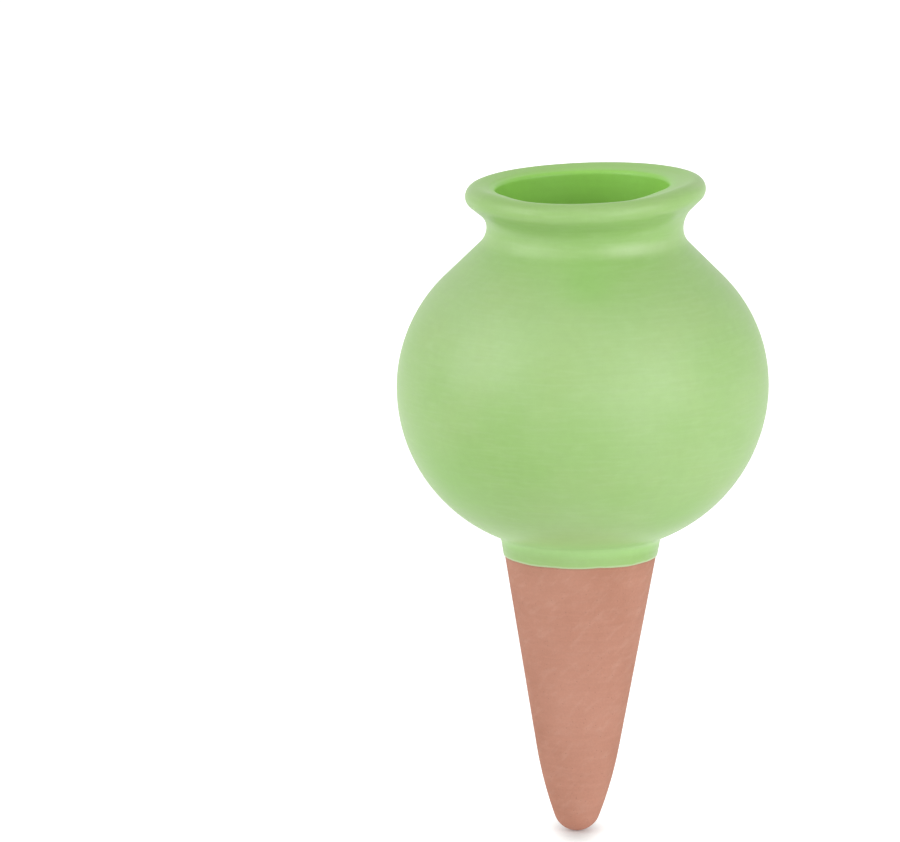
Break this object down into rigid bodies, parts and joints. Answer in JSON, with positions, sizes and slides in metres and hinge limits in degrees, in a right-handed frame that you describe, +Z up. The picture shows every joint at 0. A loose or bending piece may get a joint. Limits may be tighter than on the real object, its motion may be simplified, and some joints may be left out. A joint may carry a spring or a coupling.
{
  "type": "self watering spike",
  "caption": "Round ceramic vessel with a rolled lip and a matte green coat on a hollow bare terracotta spike that feeds water into potting soil.",
  "frame": {"origin": "on the axis at the soil line, where the green coat ends and the bare spike begins", "axes": "+Z up along the axis, out of the mouth; X and Y are free, because the object is round"},
  "size_m": [0.1, 0.1, 0.1781],
  "materials": {
    "green_coat": "matte to satin brushed green coat",
    "bare_clay": "bare porous terracotta with fine turning lines",
    "clay_body": "fired terracotta",
    "clay_slip": "fired slip"
  },
  "bodies": {
    "root": {"globe_shell": "clay_body", "neck_and_lip": "clay_body", "spike_cone": "bare_clay", "neck_slip_seam": "clay_slip", "spike_slip_seam": "clay_slip", "green_coat": "green_coat"}
  },
  "joints": []
}
